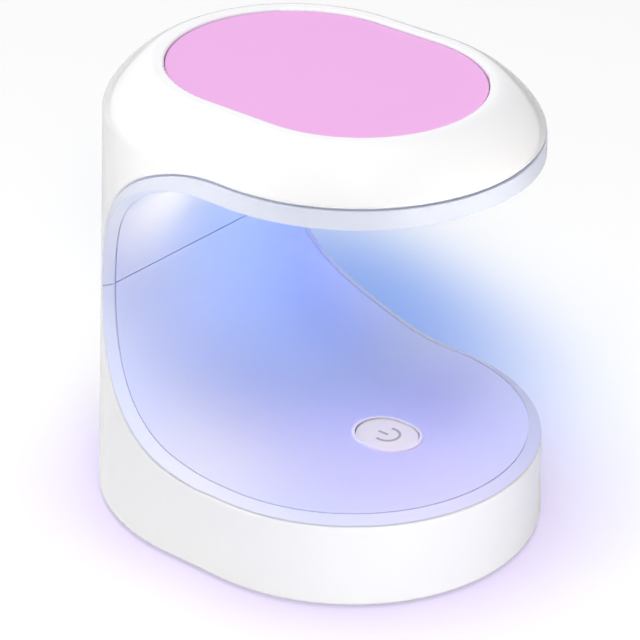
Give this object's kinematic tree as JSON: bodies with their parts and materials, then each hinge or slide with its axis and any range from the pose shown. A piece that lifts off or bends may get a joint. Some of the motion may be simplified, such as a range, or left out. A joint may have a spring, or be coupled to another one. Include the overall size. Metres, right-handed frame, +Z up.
{
  "type": "nail lamp",
  "caption": "C-shaped nail lamp with a glossy white shell, a pink top inset, LEDs under its head and a sprung oval button in the floor of its hand gap.",
  "frame": {"origin": "on the table, under the middle of the base", "axes": "+X from the rear column to the open front, +Y across to the left seen from the rear, +Z up"},
  "size_m": [0.0764, 0.064, 0.0764],
  "materials": {
    "white_gloss": "glossy white ABS",
    "white_skin": "semi-gloss white ABS",
    "pink_panel": "satin pink",
    "adhesive": "thin foam tape",
    "button_white": "glossy",
    "button_cream": "semi-gloss off-white",
    "screw_steel": "zinc plated",
    "base_plastic": "fine texture",
    "foot_rubber": "soft, light grey",
    "board_green": "solder mask over glass fibre",
    "board_white": "white solder mask over aluminium",
    "socket_metal": "nickel plated",
    "black_plastic": "moulded",
    "tin": "tinned",
    "capacitor_can": "bare can",
    "ceramic_tan": "ceramic",
    "connector_white": "nylon",
    "wire_red": "PVC sleeve",
    "wire_black": "PVC sleeve",
    "led_ceramic": "white ceramic",
    "led_dome": "clear silicone dome",
    "reflector_bright": "metallised",
    "window_clear": "clear acrylic"
  },
  "bodies": {
    "lamp": {"housing": "white_gloss", "upper_liner": "white_skin", "lower_liner": "white_skin", "top_pad": "pink_panel", "pad_adhesive": "adhesive", "head_screws": "screw_steel", "bottom_cover": "base_plastic", "feet": "foot_rubber", "bottom_screws": "screw_steel", "button_bezel": "button_white", "switch_body": "black_plastic", "switch_cover": "socket_metal", "switch_terminals": "tin", "control_board": "board_green", "board_screws": "screw_steel", "usb_shell": "socket_metal", "usb_tongue": "black_plastic", "controller_chip": "black_plastic", "controller_leads": "tin", "driver_transistor": "black_plastic", "input_capacitor": "capacitor_can", "current_resistors": "black_plastic", "chip_resistors": "black_plastic", "chip_capacitors": "ceramic_tan", "wire_header": "connector_white", "wire_plug": "connector_white", "lead_red": "wire_red", "lead_black": "wire_black", "solder_joints": "tin", "led_board": "board_white", "led_board_screws": "screw_steel", "led_packages": "led_ceramic", "led_domes": "led_dome", "reflector": "reflector_bright", "light_window": "window_clear"},
    "button": {"button_cap": "button_cream", "switch_plunger": "black_plastic"}
  },
  "joints": [
    {"name": "button_press", "type": "slide", "parent": "lamp", "child": "button", "axis": [0, 0, -1], "range_m": [0, 0.0005], "stiffness_N_per_m": 2000}
  ]
}
